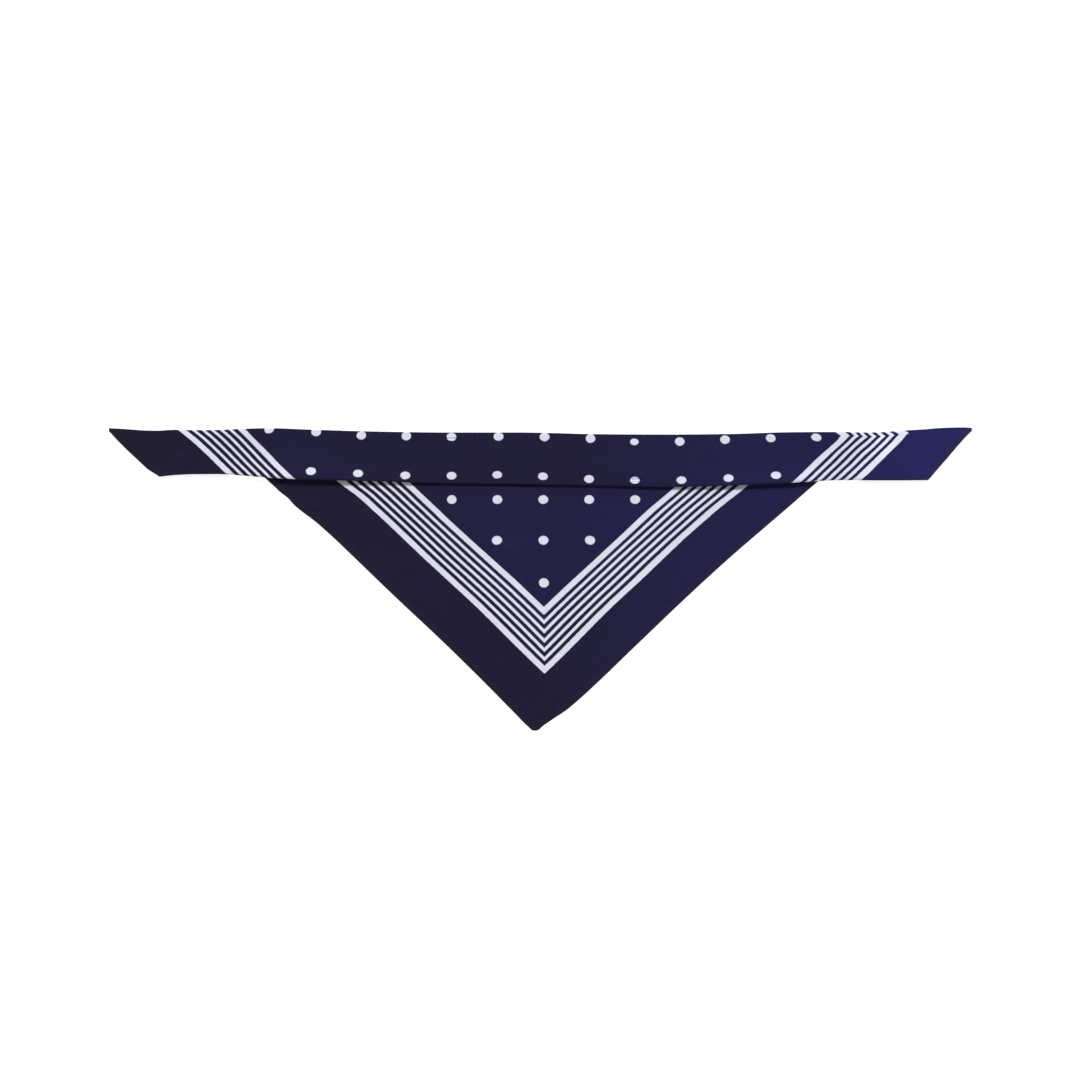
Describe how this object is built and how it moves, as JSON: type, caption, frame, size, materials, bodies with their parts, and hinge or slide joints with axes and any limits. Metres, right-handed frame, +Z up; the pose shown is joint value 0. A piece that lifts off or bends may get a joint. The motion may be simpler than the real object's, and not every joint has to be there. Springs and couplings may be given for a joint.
{
  "type": "dog scarf",
  "caption": "Polka-dot bandana scarf for a dog, a hemmed cotton square laid out flat, folded on its diagonal and pleated into a long tie band over a hanging triangle.",
  "frame": {"origin": "middle of the laid-out outline, on the surface that the scarf lies on", "axes": "+X along the band towards its right tip as seen from above, +Y from the point of the drop towards the band, +Z up from the surface"},
  "size_m": [0.811, 0.2844, 0.0075],
  "materials": {
    "printed_cotton": "plain-woven cotton, navy, printed with white dots and a border of white stripes, matt",
    "printed_cotton_inside": "the same cotton where the layers lie inside the pleat"
  },
  "bodies": {
    "root": {"band_front": "printed_cotton", "drop_front": "printed_cotton", "drop_back": "printed_cotton", "hidden_folds": "printed_cotton_inside"}
  },
  "joints": []
}
